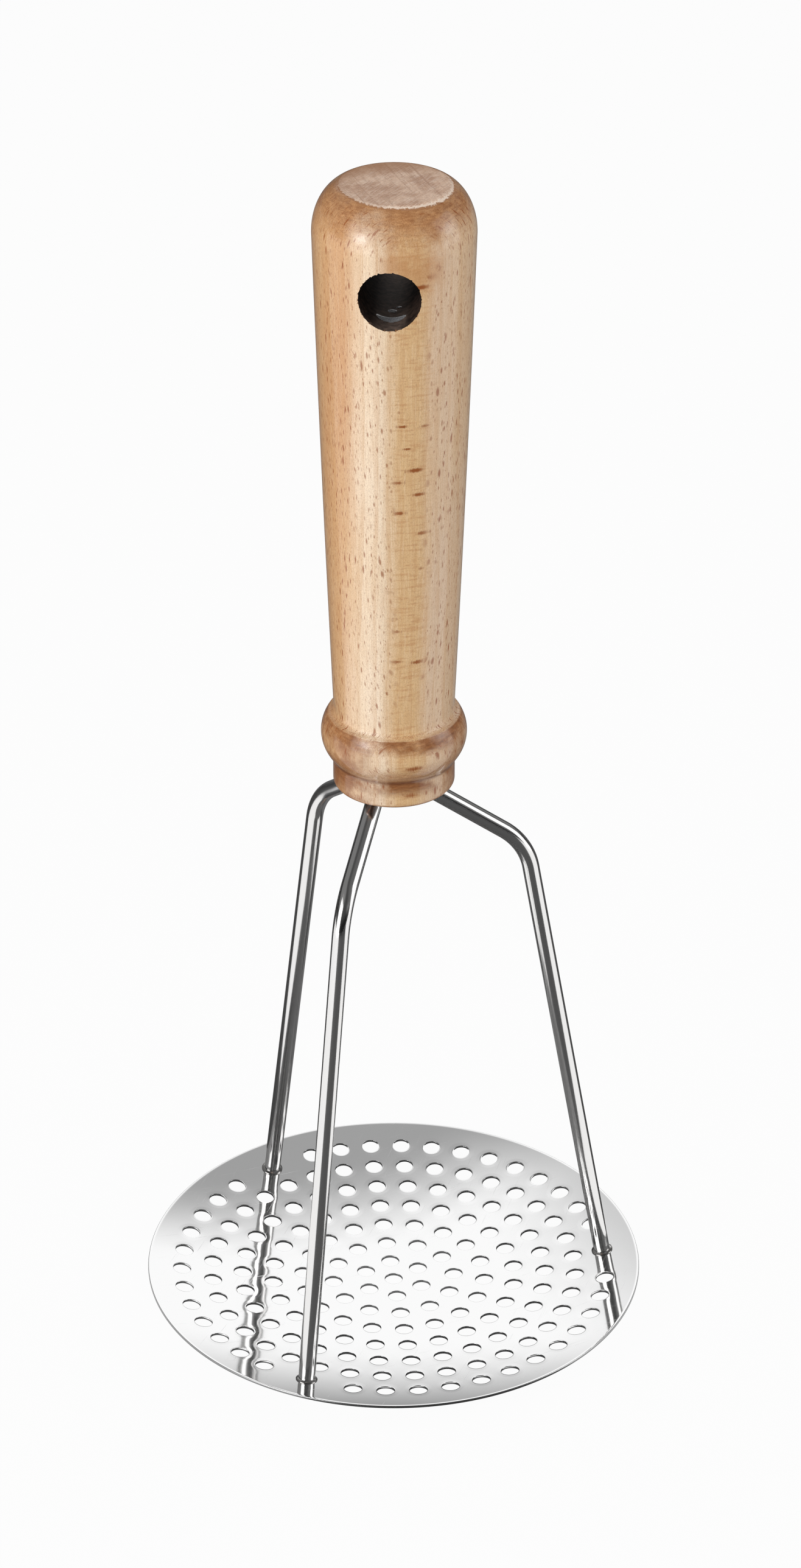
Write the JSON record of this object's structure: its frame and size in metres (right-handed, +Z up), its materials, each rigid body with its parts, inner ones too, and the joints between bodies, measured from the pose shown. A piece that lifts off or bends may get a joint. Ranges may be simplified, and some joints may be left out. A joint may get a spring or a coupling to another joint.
{
  "type": "potato masher",
  "caption": "Hand masher with a turned wooden handle, bent wire legs and a dished, pierced disc; a cross hole near the top hangs it up.",
  "frame": {"origin": "under the middle of the dished disc, at its lowest point, where the tool stands on the bench", "axes": "+Z up along the handle's middle line; +X to the right of a person who faces the hang hole, and -Y towards that person"},
  "size_m": [0.1134, 0.1134, 0.2732],
  "materials": {
    "beech": "clear lacquer, satin to gloss",
    "leg_wire": "polished",
    "disc_sheet": "polished"
  },
  "bodies": {
    "root": {"handle": "beech", "right_leg": "leg_wire", "left_leg": "leg_wire", "front_leg": "leg_wire", "disc": "disc_sheet"}
  },
  "joints": []
}
